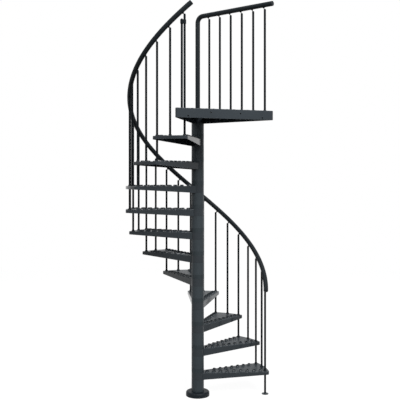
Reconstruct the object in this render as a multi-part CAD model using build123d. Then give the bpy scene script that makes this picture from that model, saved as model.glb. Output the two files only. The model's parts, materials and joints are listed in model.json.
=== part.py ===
"""A spiral staircase of powder-coated steel.

Eleven sheet-steel treads and a triangular landing are threaded on a round column. Every tread
carries an odd bar on its middle line, and shares an even bar with the tread above it: that bar
passes through the front corner of the upper tread and stands on the back corner of the lower one.
A helical handrail in two lengths sits on the bars, and the landing has a level rail of its own.

Units are millimetres and degrees. The origin is the centre of the base plate's underside, +Z is
up the column, and the landing's fixing face points to -Y. Angles run anticlockwise from +X.
"""
import math
import os

from build123d import *

# Stair
rise = 225.0
tread_count = 11
tread_angle = 23.348
first_bar_angle = -16.38
bar_circle_r = 656.5

# Column
column_r = 60.0
sleeve_wall = 5.5
pole_clearance = 0.4
pole_wall = 4.0
hub_below_top = 66.0
hub_above_top = 6.0
ring_height = 40.0
cap_thickness = 8.0

# Base
base_plate_r = 104.0
base_plate_thickness = 10.0
anchor_circle_r = 86.0
anchor_hole_r = 6.5
anchor_count = 4
socket_height = 90.0
socket_wall = 5.0
socket_clearance = 0.3
base_cover_r = 113.5
base_cover_height = 45.0
base_cover_wall = 4.0
base_cover_rounding = 17.0
cover_clearance = 0.3

# Treads
sheet = 3.0
tread_edge_beyond_bars = 38.0
tread_side_margin = 38.0
tread_root_half_width = 42.0
tread_corner_r = 24.0
flange_at_hub = 66.0
flange_at_rim = 29.0
bar_hole_clearance = 1.0

# Landing
landing_skirt = 83.0
landing_flange_at_hub = 75.0
landing_beyond_treads = 40.5
landing_side_beyond_last_bar = 143.5
outer_bolt_spacing = 694.0
inner_bolt_spacing = 277.0
outer_bolt_drop = 66.0
inner_bolt_drop = 34.0
landing_bolt_r = 7.0

# Bars
bar_r = 10.0
bar_wall = 2.0
bar_tip_below_rail = 18.0
collar_flare = 6.0
collar_tip_wall = 2.2
collar_height = 13.0
collar_clearance = 0.2
foot_r = 33.5
foot_thickness = 6.0

# Handrail
rail_r = 22.5
rail_wall = 2.5
rail_above_first_tread = 888.8
rail_joint_bar = 7.5
rail_lead_in = 9.3
rail_run_out = 5.05
cap_length = 6.0
cap_rounding = 4.0
pin_r = 6.0
pin_flange_width = 5.0
pin_flange_thickness = 3.0
pin_above_dome_base = 0.3
pin_rail_clearance = 0.25
pin_bar_clearance = 0.2

# Landing rail
landing_rail_angle = -58.4
landing_rail_height = 957.0
landing_rail_bend = 60.0
landing_rail_overhang = 78.3
landing_bar_count = 6
landing_first_bar = 142.2
landing_last_bar_setback = 75.2
landing_bar_tip_below_rail = 14.0
landing_pin_lean = 24.0
end_bar_height = 796.0
end_bar_gap = 6.0
clamp_height = 34.0
clamp_wall = 4.0
clamp_below_tip = 10.0

# Places worked out from the sizes above
bar_step = tread_angle / 2
collar_r = bar_r + collar_flare
collar_tip_r = bar_r + collar_tip_wall
pin_flange_r = pin_r + pin_flange_width
pin_below_tip = bar_r - pin_above_dome_base
tread_r = bar_circle_r + tread_edge_beyond_bars
sleeve_bore_r = column_r - sleeve_wall
pole_r = sleeve_bore_r - pole_clearance
landing_top = (tread_count + 1) * rise
last_bar = 2 * tread_count


def bar_angle(bar):
    """Direction of a numbered bar, seen from above."""
    return first_bar_angle + bar * bar_step


def on_circle(radius, angle, height=0.0):
    """A point given by its distance from the column's axis, its direction and its height."""
    turn = math.radians(angle)
    return Vector(radius * math.cos(turn), radius * math.sin(turn), height)


last_bar_place = on_circle(bar_circle_r, bar_angle(last_bar))
landing_front = -tread_r - landing_beyond_treads
landing_half_length = landing_side_beyond_last_bar - last_bar_place.X
landing_last_bar = (-landing_front - landing_last_bar_setback) / -math.sin(math.radians(landing_rail_angle))
landing_bar_pitch = (landing_last_bar - landing_first_bar) / (landing_bar_count - 1)
rail_joint_angle = bar_angle(rail_joint_bar)
rail_start_angle = bar_angle(0) - rail_lead_in
rail_end_angle = bar_angle(last_bar) + rail_run_out
rail_slope = rise / tread_angle
rail_climb = math.degrees(math.atan2(math.degrees(rail_slope), bar_circle_r))


def rail_height(angle):
    """Height of the handrail's axis over the floor in a given direction."""
    return rise + rail_above_first_tread + rail_slope * (angle - bar_angle(0))


def rail_tangent(angle):
    """Unit vector up along the handrail."""
    climb = math.radians(rail_climb)
    return on_circle(math.cos(climb), angle + 90, math.sin(climb))


def drum(radius, height, base=0.0, x=0.0, y=0.0):
    """An upright cylinder standing at a given height."""
    return Pos(x, y, base) * Cylinder(radius, height, align=(Align.CENTER, Align.CENTER, Align.MIN))


def upright_tube(radius, wall, height, base=0.0):
    """An upright tube about the column's axis."""
    return drum(radius, height, base) - drum(radius - wall, height, base)


def rod_between(start, end, radius):
    """A round rod from one point to another."""
    run = end - start
    frame = Plane(origin=start, z_dir=run.normalized())
    return frame.location * Cylinder(radius, run.length, align=(Align.CENTER, Align.CENTER, Align.MIN))


# Column and base
def base_plate():
    """Round plate with anchor holes and the short socket tube that the pole stands over."""
    plate = drum(base_plate_r, base_plate_thickness)
    socket_r = pole_r - pole_wall - socket_clearance
    plate += upright_tube(socket_r, socket_wall, socket_height, base_plate_thickness)
    for index in range(anchor_count):
        place = on_circle(anchor_circle_r, 45 + index * 360 / anchor_count)
        plate -= drum(anchor_hole_r, base_plate_thickness, 0, place.X, place.Y)
    return plate


def base_cover():
    """Hollow round cover over the base plate, with a full rounded rim."""
    shell = drum(base_cover_r, base_cover_height)
    rims = shell.edges().filter_by(GeomType.CIRCLE)
    shell = fillet(rims.sort_by(Axis.Z)[-1:], base_cover_rounding)
    inner = drum(base_cover_r - base_cover_wall, base_cover_height - base_cover_wall)
    rims = inner.edges().filter_by(GeomType.CIRCLE)
    inner = fillet(rims.sort_by(Axis.Z)[-1:], base_cover_rounding - base_cover_wall)
    hole = drum(column_r + cover_clearance, base_cover_height)
    return shell - inner - hole


def tread_top(number):
    """Height of a numbered tread's walking face."""
    return number * rise


def ring_base(number):
    """Height of the joint ring that lies on a numbered tread's hub."""
    return tread_top(number) + hub_above_top


def sleeve_above(number, next_top):
    """The column sleeve from a tread's joint ring up to the next hub."""
    base = ring_base(number) + ring_height
    return upright_tube(column_r, sleeve_wall, next_top - hub_below_top - base, base)


def column_sleeves():
    """All sleeves between the hubs."""
    tops = [tread_top(number + 1) for number in range(1, tread_count)]
    tops.append(landing_top + hub_below_top - landing_flange_at_hub)
    return [sleeve_above(number + 1, top) for number, top in enumerate(tops)]


def base_sleeve():
    """The lowest sleeve, from the base plate up to the first hub."""
    height = tread_top(1) - hub_below_top - base_plate_thickness
    return upright_tube(column_r, sleeve_wall, height, base_plate_thickness)


def joint_rings():
    """A ring on top of every tread's hub."""
    return [upright_tube(column_r, sleeve_wall, ring_height, ring_base(n + 1)) for n in range(tread_count)]


def centre_pole():
    """The pole inside the sleeves, from the base plate to the landing's cap."""
    height = landing_top + hub_above_top - base_plate_thickness
    return upright_tube(pole_r, pole_wall, height, base_plate_thickness)


def column_cap():
    """Round plate that closes the column over the landing, with the rail post's hole."""
    base = landing_top + hub_above_top
    cap = drum(column_r, cap_thickness, base)
    rims = cap.edges().filter_by(GeomType.CIRCLE)
    cap = fillet(rims.sort_by(Axis.Z)[-1:], cap_thickness / 2)
    return cap - drum(rail_r, cap_thickness, base)


# Treads
def tread_outline(inset=0.0):
    """The tread seen from above, its middle line along +X, drawn in from its edge by the inset."""
    half_angle = math.degrees(math.asin(
        (bar_circle_r * math.sin(math.radians(bar_step)) + tread_side_margin) / tread_r))
    corner = on_circle(tread_r, half_angle)
    front_root = (0, -tread_root_half_width)
    back_root = (0, tread_root_half_width)
    front = (corner.X, -corner.Y)
    back = (corner.X, corner.Y)
    edges = [
        Line(back_root, front_root),
        Line(front_root, front),
        ThreePointArc(front, (tread_r, 0), back),
        Line(back, back_root),
    ]
    face = make_face(Curve() + edges)
    outer_corners = face.vertices().sort_by(Axis.X)[-2:]
    face = fillet(outer_corners, tread_corner_r)
    return offset(face, -inset) if inset else face


def tapered_block(face, depth_at_hub, depth_at_rim):
    """The outline carried down to an underside that slopes up from the hub to the rim."""
    block = extrude(face, -depth_at_hub)
    low = Vector(column_r, 0, -depth_at_hub)
    high = Vector(tread_r, 0, -depth_at_rim)
    slope = Plane(origin=low, x_dir=high - low, z_dir=(high - low).cross(Vector(0, 1, 0)))
    return split(block, bisect_by=slope, keep=Keep.TOP)


def tread(number):
    """One tread: top sheet, side flanges, rim and the hub that threads on the pole."""
    block = tapered_block(tread_outline(), flange_at_hub, flange_at_rim)
    hollow = extrude(tread_outline(sheet), -flange_at_hub)
    body = block - Pos(0, 0, -sheet) * hollow
    hub = drum(column_r, hub_below_top + hub_above_top, -hub_below_top)
    body += hub
    body -= drum(sleeve_bore_r, hub_below_top + hub_above_top, -hub_below_top)
    front_bar = on_circle(bar_circle_r, -bar_step)
    body -= drum(bar_r + bar_hole_clearance, 2 * sheet, -1.5 * sheet, front_bar.X, front_bar.Y)
    middle = bar_angle(2 * number - 1)
    return Pos(0, 0, tread_top(number)) * Rot(0, 0, middle) * body


# Landing
def landing_outline(inset=0.0):
    """The landing seen from above: its front edge faces -Y and its sides run to the hub."""
    left = Vector(-landing_half_length, landing_front)
    right = Vector(landing_half_length, landing_front)
    left_root = left.normalized().rotate(Axis.Z, -90) * tread_root_half_width
    right_root = right.normalized().rotate(Axis.Z, 90) * tread_root_half_width
    face = make_face(Polyline(left, right, right_root, left_root, close=True))
    return offset(face, -inset, kind=Kind.INTERSECTION) if inset else face


def landing():
    """The landing: top sheet, front skirt with its bolt holes, side flanges and hub."""
    block = extrude(landing_outline(), -landing_skirt)
    low = Vector(0, landing_front, -landing_skirt)
    high = Vector(0, -column_r, -landing_flange_at_hub)
    slope = Plane(origin=low, x_dir=(1, 0, 0), z_dir=Vector(1, 0, 0).cross(high - low))
    block = split(block, bisect_by=slope, keep=Keep.TOP)
    hollow = extrude(landing_outline(sheet), -landing_skirt)
    body = block - Pos(0, 0, -sheet) * hollow
    body += drum(column_r, landing_flange_at_hub + hub_above_top, -landing_flange_at_hub)
    body -= drum(sleeve_bore_r, 2 * landing_skirt, -landing_skirt)
    body -= drum(bar_r + bar_hole_clearance, 2 * sheet, -1.5 * sheet, last_bar_place.X, last_bar_place.Y)
    for spacing, drop in ((outer_bolt_spacing, outer_bolt_drop), (inner_bolt_spacing, inner_bolt_drop)):
        for side in (-1, 1):
            mouth = Vector(side * spacing / 2, landing_front - sheet, -drop)
            body -= rod_between(mouth, mouth + Vector(0, 3 * sheet, 0), landing_bolt_r)
    return Pos(0, 0, landing_top) * body


# Bars, collars and pins
def bar_at(place, foot, tip):
    """A round tube with a domed tip, open at the foot."""
    straight = tip - bar_r - foot
    bar = drum(bar_r, straight, foot) + Pos(0, 0, foot + straight) * Sphere(bar_r)
    bar -= drum(bar_r - bar_wall, straight, foot)
    return Pos(place.X, place.Y, 0) * bar


def bar_tip(bar):
    """Height of a stair bar's tip, a set distance under the handrail."""
    half_rail = rail_r / math.cos(math.radians(rail_climb))
    return rail_height(bar_angle(bar)) - half_rail - bar_tip_below_rail


def bar_foot(bar):
    """Height of a stair bar's foot: on the tread below it, or on the foot plate."""
    return tread_top((bar + 1) // 2) if bar else foot_thickness


def stair_bar(bar):
    """One numbered bar of the stair."""
    return bar_at(on_circle(bar_circle_r, bar_angle(bar)), bar_foot(bar), bar_tip(bar))


def collar_at(place, height):
    """A small cone-shaped collar round a bar, lying on a tread."""
    cone = Cone(collar_r, collar_tip_r, collar_height, align=(Align.CENTER, Align.CENTER, Align.MIN))
    cone -= drum(bar_r + collar_clearance, collar_height)
    return Pos(place.X, place.Y, height) * cone


def baluster_collars():
    """Collars on every tread: at its front corner, middle and back corner."""
    collars = []
    for number in range(1, tread_count + 1):
        for bar in range(2 * number - 2, 2 * number + 1):
            collars.append(collar_at(on_circle(bar_circle_r, bar_angle(bar)), tread_top(number)))
    return collars


def pin(place, height, rail_axis_point, rail_direction):
    """A short pin from a bar's tip to the rail, with a flange shaped to the rail's underside."""
    start = Vector(place.X, place.Y, height)
    aim = (rail_axis_point - start).normalized()
    body = rod_between(start, rail_axis_point, pin_r)
    reach = (rail_axis_point - start).length - rail_r
    flange_start = start + aim * (reach - pin_flange_thickness)
    body += rod_between(flange_start, rail_axis_point, pin_flange_r)
    reach_along = rail_direction * (4 * pin_flange_r)
    body -= rod_between(rail_axis_point - reach_along, rail_axis_point + reach_along,
                        rail_r + pin_rail_clearance)
    body -= drum(bar_r + pin_bar_clearance, 8 * bar_r, height - 4 * bar_r, place.X, place.Y)
    return body.solids().sort_by(SortBy.VOLUME)[-1]


def rail_pin(bar):
    """The pin of a stair bar: it leaves the tip square to the handrail, on its downhill side."""
    angle = bar_angle(bar)
    climb = math.radians(rail_climb)
    place = on_circle(bar_circle_r, angle)
    height = bar_tip(bar) - pin_below_tip
    length = (rail_height(angle) - height) * math.cos(climb)
    back = math.degrees(length * math.sin(climb) / bar_circle_r)
    foot_angle = angle - back
    axis_point = on_circle(bar_circle_r, foot_angle, rail_height(foot_angle))
    return pin(place, height, axis_point, rail_tangent(foot_angle))


# Handrail
def handrail_length(start_angle, end_angle):
    """A length of tube that follows the bar circle and climbs evenly between two directions."""
    turn = end_angle - start_angle
    path = Helix(pitch=rail_slope * 360, height=rail_slope * turn, radius=bar_circle_r)
    section = Plane(origin=path @ 0, z_dir=path % 0)
    tube = sweep(section * Circle(rail_r), path=path, is_frenet=True)
    tube -= sweep(section * Circle(rail_r - rail_wall), path=path, is_frenet=True)
    return Pos(0, 0, rail_height(start_angle)) * Rot(0, 0, start_angle) * tube


def end_cap(origin, direction):
    """A plain rounded cap on the end of a rail."""
    cap = Cylinder(rail_r, cap_length, align=(Align.CENTER, Align.CENTER, Align.MIN))
    rims = cap.edges().filter_by(GeomType.CIRCLE)
    cap = fillet(rims.sort_by(Axis.Z)[-1:], cap_rounding)
    return Plane(origin=origin, z_dir=direction).location * cap


def handrail_caps():
    """The caps on both free ends of the handrail."""
    caps = []
    for angle, way in ((rail_start_angle, -1), (rail_end_angle, 1)):
        origin = on_circle(bar_circle_r, angle, rail_height(angle))
        caps.append(end_cap(origin, rail_tangent(angle) * way))
    return caps


# Landing rail
def landing_rail_place(distance, height=0.0):
    """A point over the landing, a given distance along the level rail."""
    return on_circle(distance, landing_rail_angle, height)


def landing_rail():
    """The bent tube: a post on the column's axis, a bend and the level rail."""
    top = landing_top + landing_rail_height
    end = landing_last_bar + landing_rail_overhang
    path = FilletPolyline(
        (0, 0, landing_top + hub_above_top), (0, 0, top), landing_rail_place(end, top),
        radius=landing_rail_bend)
    section = Plane(origin=path @ 0, z_dir=path % 0)
    return sweep(section * Circle(rail_r), path=path) - sweep(section * Circle(rail_r - rail_wall), path=path)


def landing_rail_cap():
    """The cap on the landing rail's free end."""
    end = landing_rail_place(landing_last_bar + landing_rail_overhang, landing_top + landing_rail_height)
    return end_cap(end, on_circle(1, landing_rail_angle))


def landing_bar_places():
    """Where the landing's bars stand."""
    return [landing_rail_place(landing_first_bar + index * landing_bar_pitch)
            for index in range(landing_bar_count)]


def landing_bar_tip():
    """Height of the landing bars' tips."""
    return landing_top + landing_rail_height - rail_r - landing_bar_tip_below_rail


def landing_pin(place):
    """The pin of a landing bar: it leans back towards the post."""
    height = landing_bar_tip() - pin_below_tip
    lean = math.radians(landing_pin_lean)
    along = on_circle(1, landing_rail_angle)
    aim = Vector(0, 0, math.cos(lean)) - along * math.sin(lean)
    above = landing_top + landing_rail_height - height
    axis_point = Vector(place.X, place.Y, height) + aim * (above / math.cos(lean))
    return pin(place, height, axis_point, along)


def end_bar_place():
    """Where the landing's end bar stands, beside the last bar of the stair."""
    return last_bar_place - Vector(2 * bar_r + end_bar_gap, 0)


def end_bar_clamp():
    """A flat clamp round the end bar and the last stair bar."""
    ends = [end_bar_place(), last_bar_place]
    base = landing_top + end_bar_height - clamp_below_tip - clamp_height
    outline = SlotCenterToCenter(2 * bar_r + end_bar_gap, 2 * (bar_r + clamp_wall))
    middle = (ends[0] + ends[1]) / 2
    body = Pos(middle.X, middle.Y, base) * extrude(outline, clamp_height)
    for end in ends:
        body -= drum(bar_r + collar_clearance, clamp_height, base, end.X, end.Y)
    return body


pieces = {
    "base_plate": base_plate(),
    "base_cover": base_cover(),
    "base_sleeve": base_sleeve(),
    "centre_pole": centre_pole(),
    "column_sleeves": column_sleeves(),
    "joint_rings": joint_rings(),
    "column_cap": column_cap(),
    "landing": landing(),
    "first_baluster": stair_bar(0),
    "tread_balusters": [stair_bar(bar) for bar in range(1, last_bar, 2)],
    "shared_balusters": [stair_bar(bar) for bar in range(2, last_bar, 2)],
    "last_baluster": stair_bar(last_bar),
    "baluster_foot": Pos(*on_circle(bar_circle_r, bar_angle(0))) * drum(foot_r, foot_thickness),
    "baluster_collars": baluster_collars(),
    "rail_pins": [rail_pin(bar) for bar in range(last_bar + 1)],
    "handrail_lower": handrail_length(rail_start_angle, rail_joint_angle),
    "handrail_upper": handrail_length(rail_joint_angle, rail_end_angle),
    "handrail_caps": handrail_caps(),
    "landing_rail": landing_rail(),
    "landing_rail_cap": landing_rail_cap(),
    "landing_balusters": [bar_at(place, landing_top, landing_bar_tip()) for place in landing_bar_places()],
    "landing_end_bar": bar_at(end_bar_place(), landing_top, landing_top + end_bar_height),
    "landing_collars": [collar_at(place, landing_top) for place in landing_bar_places() + [end_bar_place()]],
    "landing_pins": [landing_pin(place) for place in landing_bar_places()],
    "end_bar_clamp": end_bar_clamp(),
}
for number in range(1, tread_count + 1):
    pieces[f"tread_{number:02d}"] = tread(number)

os.makedirs("parts", exist_ok=True)
for name, shape in pieces.items():
    solids = shape if isinstance(shape, list) else [shape]
    whole = Compound(children=[solid for item in solids for solid in item.solids()])
    export_step(whole, f"parts/{name}.step")
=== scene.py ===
"""The looks of a powder-coated spiral staircase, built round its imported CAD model.

The CAD model gives the places and the main sizes. This file adds the folded and perforated treads,
the landing, turned trim, welds and fixings, the finishes, and a plain studio. Lengths are metres.
"""

import json
import math

import bmesh
import bpy
from bpy.props import FloatProperty, FloatVectorProperty, IntProperty, PointerProperty
from mathutils import Matrix, Vector


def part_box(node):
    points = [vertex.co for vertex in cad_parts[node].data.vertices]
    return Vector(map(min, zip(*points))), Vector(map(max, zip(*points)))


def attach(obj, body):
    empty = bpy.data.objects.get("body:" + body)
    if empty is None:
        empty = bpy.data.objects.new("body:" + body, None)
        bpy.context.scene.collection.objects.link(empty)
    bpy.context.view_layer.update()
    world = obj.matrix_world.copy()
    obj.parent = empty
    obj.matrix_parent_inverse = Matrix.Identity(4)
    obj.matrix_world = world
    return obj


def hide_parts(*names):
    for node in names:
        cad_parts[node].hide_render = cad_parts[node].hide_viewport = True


bl_info = {
    "name": "Spiral Staircase Looks",
    "version": (1, 0, 0),
    "blender": (4, 5, 0),
    "location": "View3D > Sidebar > Stair",
    "description": "Builds the treads, landing, trim, fixings and finishes of a spiral staircase",
    "category": "Object",
}

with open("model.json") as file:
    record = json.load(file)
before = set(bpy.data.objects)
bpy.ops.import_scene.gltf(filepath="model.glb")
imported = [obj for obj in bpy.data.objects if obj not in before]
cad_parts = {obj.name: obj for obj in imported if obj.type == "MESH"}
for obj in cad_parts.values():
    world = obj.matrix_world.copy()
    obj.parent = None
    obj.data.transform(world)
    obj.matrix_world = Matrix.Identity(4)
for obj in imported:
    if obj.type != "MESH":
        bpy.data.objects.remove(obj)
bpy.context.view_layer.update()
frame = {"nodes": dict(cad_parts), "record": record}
BODY = "root"
MM_PER_METRE = 1000


# Places and sizes read from the frame
def node_centre(node):
    """Middle of a CAD node's box."""
    low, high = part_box(node)
    return (low + high) / 2


def mount(name):
    """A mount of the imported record."""
    return next(row for row in frame["record"]["mounts"] if row["name"] == name)


def flat_angle(point):
    """Direction of a point from the column's axis, seen from above."""
    return math.atan2(point.y, point.x)


TREADS = sorted(name for name in frame["nodes"] if name.startswith("tread_") and name[6:].isdigit())
TREAD_COUNT = len(TREADS)
COLUMN_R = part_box("column_sleeves")[1].x
POLE_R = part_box("centre_pole")[1].x
FIRST_BAR = node_centre("first_baluster")
LAST_BAR = node_centre("last_baluster")
BAR_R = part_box("first_baluster")[1].x - FIRST_BAR.x
BAR_CIRCLE_R = FIRST_BAR.xy.length
FIRST_ANGLE = flat_angle(FIRST_BAR)
BAR_STEP = (flat_angle(LAST_BAR) - FIRST_ANGLE) % (2 * math.pi) / (2 * TREAD_COUNT)
FIRST_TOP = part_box("baluster_collars")[0].z
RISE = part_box("tread_02")[1].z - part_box("tread_01")[1].z
TREAD_R = max(vertex.co.xy.length for vertex in frame["nodes"]["tread_01"].data.vertices)
TREAD_HUB_DEPTH = FIRST_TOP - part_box("tread_01")[0].z
HUB_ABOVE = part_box("tread_01")[1].z - FIRST_TOP
LANDING_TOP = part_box("landing_collars")[0].z
LANDING_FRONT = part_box("landing")[0].y
LANDING_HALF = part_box("landing")[1].x
LANDING_SKIRT = LANDING_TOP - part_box("landing")[0].z
BASE_COVER_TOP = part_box("base_cover")[1].z
BASE_COVER_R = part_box("base_cover")[1].x
FOOT_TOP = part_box("baluster_foot")[1].z
FOOT_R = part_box("baluster_foot")[1].x - node_centre("baluster_foot").x
COLLAR_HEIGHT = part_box("landing_collars")[1].z - LANDING_TOP
COLLAR_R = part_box("landing_collars")[1].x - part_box("landing_balusters")[1].x + BAR_R

# Small sizes that the frame doesn't give
HUB_BORE = POLE_R + 0.0004
COVER_HOLE_R = COLUMN_R + 0.0003
BAR_BORE = BAR_R + 0.0002
COLLAR_TIP_R = BAR_R + 0.0024
COLLAR_RIM = 0.0025
SHEET_IN_HUB = 0.0025
SHEET_EDGE = 0.0006
WELD_R = 0.0021
BOLT_WIDTH = 0.013
BOLT_HEIGHT = 0.0075
WASHER_THICKNESS = 0.0016
JOIN_DISTANCE = 0.000001
SHARP_ANGLE = math.radians(35)

# How finely round shapes are divided
COLUMN_STEPS = 72
COLLAR_STEPS = 28
COVER_STEPS = 96
FOOT_STEPS = 40
SMALL_STEPS = 24
SLOT_STEPS = 20

# A fold's bend in steps, and where its outer and inner walls come among its lines
FOLD_STEPS = 4
OUTER_WALL = FOLD_STEPS
INNER_WALL = FOLD_STEPS + 5


def bar_angle(bar):
    """Direction of a numbered stair bar from the column, in radians."""
    return FIRST_ANGLE + bar * BAR_STEP


def tread_top(number):
    """Height of a numbered tread's walking face."""
    return FIRST_TOP + (number - 1) * RISE


def on_circle(radius, angle, height=0.0):
    """A point given by its distance from the column's axis, its direction and its height."""
    return Vector((radius * math.cos(angle), radius * math.sin(angle), height))


def raised(height):
    """A place on the column's axis."""
    return Matrix.Translation((0, 0, height))


def bar_foot(bar, tread):
    """Where a numbered stair bar meets a tread's walking face."""
    return on_circle(BAR_CIRCLE_R, bar_angle(bar), tread_top(tread))


def landing_bar_feet(count):
    """Where the landing's row of bars stands, nearest the column first."""
    low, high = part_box("landing_balusters")
    first = Vector((low.x + BAR_R, high.y - BAR_R, LANDING_TOP))
    last = Vector((high.x - BAR_R, low.y + BAR_R, LANDING_TOP))
    return [first.lerp(last, index / (count - 1)) for index in range(count)]


def end_bar_foot():
    """Where the landing's end bar stands."""
    centre = node_centre("landing_end_bar")
    return Vector((centre.x, centre.y, LANDING_TOP))


# Settings that a user would change
def metres(name, description, default):
    """A length."""
    return FloatProperty(name=name, description=description, default=default, subtype="DISTANCE",
                         unit="LENGTH")


def degrees(name, description, default):
    """An angle, given here in degrees."""
    return FloatProperty(name=name, description=description, default=math.radians(default),
                         subtype="ANGLE", unit="ROTATION")


def fraction(name, description, default):
    """A number from 0 to 1."""
    return FloatProperty(name=name, description=description, default=default, min=0, max=1,
                         subtype="FACTOR")


def tint(name, description, default):
    """A colour."""
    return FloatVectorProperty(name=name, description=description, default=default, size=3, min=0,
                               max=1, subtype="COLOR")


def watts(name, description, default):
    """The power of a lamp."""
    return FloatProperty(name=name, description=description, default=default, unit="POWER")


def whole(name, description, default):
    """A whole number, at least 2."""
    return IntProperty(name=name, description=description, default=default, min=2)


class FinishSettings(bpy.types.PropertyGroup):
    """Colours and textures of the coatings."""

    coat_color: tint("Coat", "Powder coat of the column", (0.046, 0.058, 0.066))
    tread_color: tint("Treads", "Powder coat of the treads and landing", (0.038, 0.047, 0.055))
    bar_color: tint("Bars", "Powder coat of the bars", (0.008, 0.011, 0.013))
    rail_color: tint("Handrail", "Coating of the handrail", (0.012, 0.016, 0.019))
    fitting_color: tint("Fittings", "Pins, bolts and washers", (0.009, 0.010, 0.011))
    ring_color: tint("Rings", "Plastic rings of the column", (0.034, 0.044, 0.050))
    plastic_color: tint("Plastic", "Plastic caps and base cover", (0.008, 0.012, 0.016))
    collar_color: tint("Collars", "Plastic collars of the bars", (0.0048, 0.0072, 0.0096))
    dust_color: tint("Dust", "Dust and scuffs on the walked faces", (0.22, 0.22, 0.21))
    dust_amount: fraction("Dust amount", "How much dust and scuffs show", 0.03)
    specular_level: fraction("Specular", "Mirror-like part of the column, treads and plastic", 0.16)
    rail_specular: fraction("Rail specular", "Mirror-like part of the rails' coating", 0.09)
    bar_specular: fraction("Bar specular", "Mirror-like part of the bars and fittings", 0.03)
    coat_roughness: fraction("Coat roughness", "Roughness of the column's powder coat", 0.36)
    bar_roughness: fraction("Bar roughness", "Roughness of the bars' powder coat", 0.41)
    rail_roughness: fraction("Rail roughness", "Roughness of the rails' coating", 0.38)
    fitting_roughness: fraction("Fitting roughness", "Roughness of the pins and bolts", 0.32)
    weld_roughness: fraction("Weld roughness", "Roughness of the coat over the welds", 0.41)
    sheet_roughness: fraction("Sheet roughness", "Roughness of the treads' folds", 0.14)
    landing_roughness: fraction("Landing roughness", "Roughness of the landing's folds", 0.18)
    walked_roughness: fraction("Walked roughness", "Roughness of the faces walked on", 0.42)
    plastic_roughness: fraction("Plastic roughness", "Roughness of the moulded plastic", 0.5)
    cap_roughness: fraction("Cap roughness", "Roughness of the rails' end caps", 0.45)
    shade_change: fraction("Shade change", "How far the coat's shade drifts over a piece", 0.06)
    weld_shade_change: fraction("Weld shade", "How far the shade drifts over the welds", 0.1)
    grain_size: metres("Grain", "Width of one ripple of the powder coat", 0.0022)
    grain_height: metres("Grain height", "Height of the powder coat's ripples", 0.00006)
    weld_height: metres("Weld height", "Height of the ripples on a weld", 0.0001)
    pit_size: metres("Pits", "Width of one pit of the moulded plastic", 0.0011)
    pit_height: metres("Pit depth", "Depth of the moulded plastic's pits", 0.00004)


class TreadSettings(bpy.types.PropertyGroup):
    """Sizes of a folded sheet tread."""

    rim_depth: metres("Rim depth", "Depth of the folded edge at the outer rim", 0.029)
    side_margin: metres("Side margin", "Sheet outside the corner bars, along the rim", 0.038)
    root_half_width: metres("Root half width", "Half the tread's width at the column's axis", 0.042)
    corner_radius: metres("Corner radius", "Radius of the outer corners, from above", 0.024)
    sheet: metres("Sheet", "Thickness of the sheet", 0.003)
    bend_radius: metres("Bend radius", "Outer radius of the folded edge", 0.005)
    bump_radius: metres("Bump radius", "Foot radius of a raised perforation", 0.018)
    bump_hole: metres("Hole radius", "Radius of the hole in a raised perforation", 0.012)
    bump_height: metres("Bump height", "Height of a raised perforation", 0.012)
    slot_stretch: metres("Slot stretch", "Half the straight length of a raised slot", 0.014)
    slot_turn: degrees("Slot turn", "Direction of the raised slots, from the middle line", 60)
    bump_pitch: metres("Bump pitch", "Distance between perforations in a row", 0.0653)
    row_inset: metres("Row inset", "Distance of the rows from the tread's sides", 0.039)
    front_row_start: metres("Front row start", "First front perforation, from the root", 0.082)
    back_row_start: metres("Back row start", "First back perforation, from the root", 0.105)
    front_row_count: whole("Front row count", "Most perforations in the front row", 9)
    back_row_count: whole("Back row count", "Most perforations in the back row", 8)


class LandingSettings(bpy.types.PropertyGroup):
    """Sizes of the landing."""

    hub_depth: metres("Hub depth", "Depth of the folded edge at the column", 0.075)
    corner_radius: metres("Corner radius", "Radius of the face's corners, from above", 0.016)
    bar_count: whole("Bars", "Bars under the landing's level rail", 6)
    bump_pitch: metres("Bump pitch", "Distance between perforations in a row", 0.0653)
    row_step: metres("Row step", "Distance between the rows of perforations", 0.082)
    face_margin: metres("Face margin", "From the landing's face to the first row's middle", 0.130)


class StageSettings(bpy.types.PropertyGroup):
    """Camera, lamps, floor and surroundings."""

    camera_distance: metres("Camera distance", "Distance of the camera from the column", 6.7348)
    camera_height: metres("Camera height", "Height of the camera over the floor", 2.1098)
    camera_aside: metres("Camera aside", "Sideways place of the camera", 0.0222)
    camera_turn: degrees("Camera turn", "Direction of view, from the landing's front", -19.7)
    lens: FloatProperty(name="Lens", description="Focal length in millimetres", default=62.64)
    shift_y: FloatProperty(name="Shift", description="Upright shift of the lens", default=-0.0573)
    key_power: watts("Key lamp", "Power of the main soft lamp", 870.0)
    fill_power: watts("Fill lamp", "Power of the weak lamp on the left", 400.0)
    top_power: watts("Top lamp", "Power of the lamp overhead", 250.0)
    lamp_aim: metres("Lamp aim", "Height on the column that the lamps are aimed at", 1.4)
    world_strength: FloatProperty(
        name="World", description="Strength of the surroundings on matt faces", default=0.10)
    floor_half: metres("Floor", "Half the width of the floor", 9.0)
    floor_color: fraction("Floor colour", "Grey of the floor where the camera sees it", 0.12)
    floor_bounce: fraction("Floor bounce", "Grey of the floor for light that bounces off", 0.06)
    floor_glow: fraction("Floor glow", "Brightness of the floor in full shadow", 0.96)


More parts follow.
